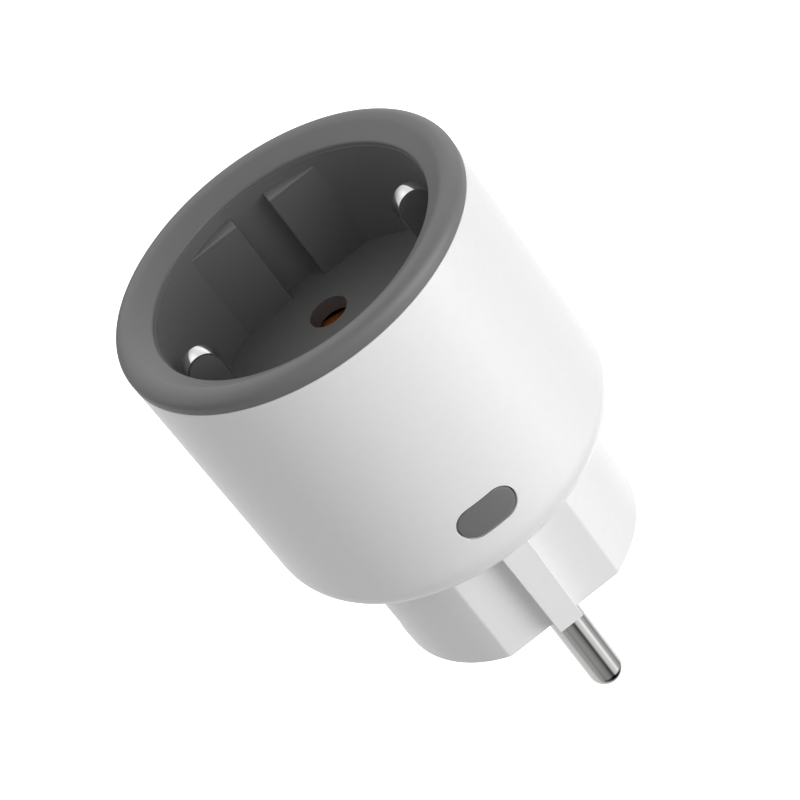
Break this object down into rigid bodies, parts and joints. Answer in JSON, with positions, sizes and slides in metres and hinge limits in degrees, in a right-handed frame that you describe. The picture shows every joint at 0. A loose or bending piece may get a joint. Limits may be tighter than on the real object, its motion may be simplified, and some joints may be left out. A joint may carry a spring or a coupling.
{
  "type": "smart plug",
  "caption": "Round switched plug-in adapter with a two-pin plug below, a socket well with side earth springs above and a side button.",
  "frame": {"origin": "middle of the plug base's end face, halfway between the two pins", "axes": "+Z along the plug's axis from the pins to the socket mouth; the two pins and the button lie on the Y axis, the button towards -Y; the earth contacts lie on the X axis"},
  "size_m": [0.0492, 0.0492, 0.0803],
  "materials": {
    "white_body": "white satin moulded plastic",
    "dark_grey_plastic": "dark grey finely matt moulded plastic",
    "orange_plastic": "orange moulded plastic",
    "polished_nickel": "polished nickel plating",
    "spring_steel": "plain steel",
    "black_plastic": "black moulded plastic",
    "brass": "bare brass",
    "circuit_board": "green solder mask",
    "relay_blue": "blue moulded case",
    "film_yellow": "yellow moulded case",
    "capacitor_sleeve": "dark blue shrink sleeve",
    "resistor_green": "green lacquer",
    "tinned_metal": "tinned sheet",
    "clear_plastic": "milky clear plastic"
  },
  "bodies": {
    "root": {"bridge_rectifier": "black_plastic", "busbar_line": "brass", "busbar_neutral": "brass", "busbar_switched": "brass", "button_guide": "clear_plastic", "carrier_screw_left": "spring_steel", "carrier_screw_right": "spring_steel", "choke": "black_plastic", "contact_carrier": "black_plastic", "contact_sleeve_line": "brass", "contact_sleeve_neutral": "brass", "control_board": "circuit_board", "converter_chip": "black_plastic", "earth_bridge": "polished_nickel", "earth_clip_left": "polished_nickel", "earth_clip_right": "polished_nickel", "film_capacitor": "film_yellow", "fusible_resistor": "resistor_green", "housing_shell": "white_body", "main_board": "circuit_board", "metering_chip": "black_plastic", "pin_line": "polished_nickel", "pin_neutral": "polished_nickel", "plug_base": "white_body", "plug_earth_contact_left": "polished_nickel", "plug_earth_contact_right": "polished_nickel", "radio_board": "circuit_board", "radio_shield": "tinned_metal", "relay": "relay_blue", "shunt_resistor": "tinned_metal", "shutter_spring": "spring_steel", "smoothing_capacitor_1": "capacitor_sleeve", "smoothing_capacitor_2": "capacitor_sleeve", "socket_insert": "dark_grey_plastic", "status_led": "clear_plastic", "switch_body": "black_plastic", "varistor": "relay_blue"},
    "button": {"button_cap": "dark_grey_plastic"},
    "plunger": {"switch_plunger": "black_plastic"},
    "shutter": {"shutter_rotor": "orange_plastic"}
  },
  "joints": [
    {"name": "button_press", "type": "slide", "parent": "root", "child": "button", "axis": [0, 1, 0], "range_m": [0, 0.0006], "stiffness_N_per_m": 900, "springref_m": -0.001},
    {"name": "switch_plunger_press", "type": "slide", "parent": "root", "child": "plunger", "axis": [0, 1, 0], "range_m": [0, 0.0006]},
    {"name": "shutter_turn", "type": "hinge", "parent": "root", "child": "shutter", "pos_m": [0, 0, 0.0393], "axis": [0, 0, 1], "range_deg": [0, 38], "stiffness_Nm_per_rad": 0.004, "springref_deg": -28.65}
  ],
  "couplings": [
    {"joint": "switch_plunger_press", "follows": "button_press", "ratio": 1}
  ]
}
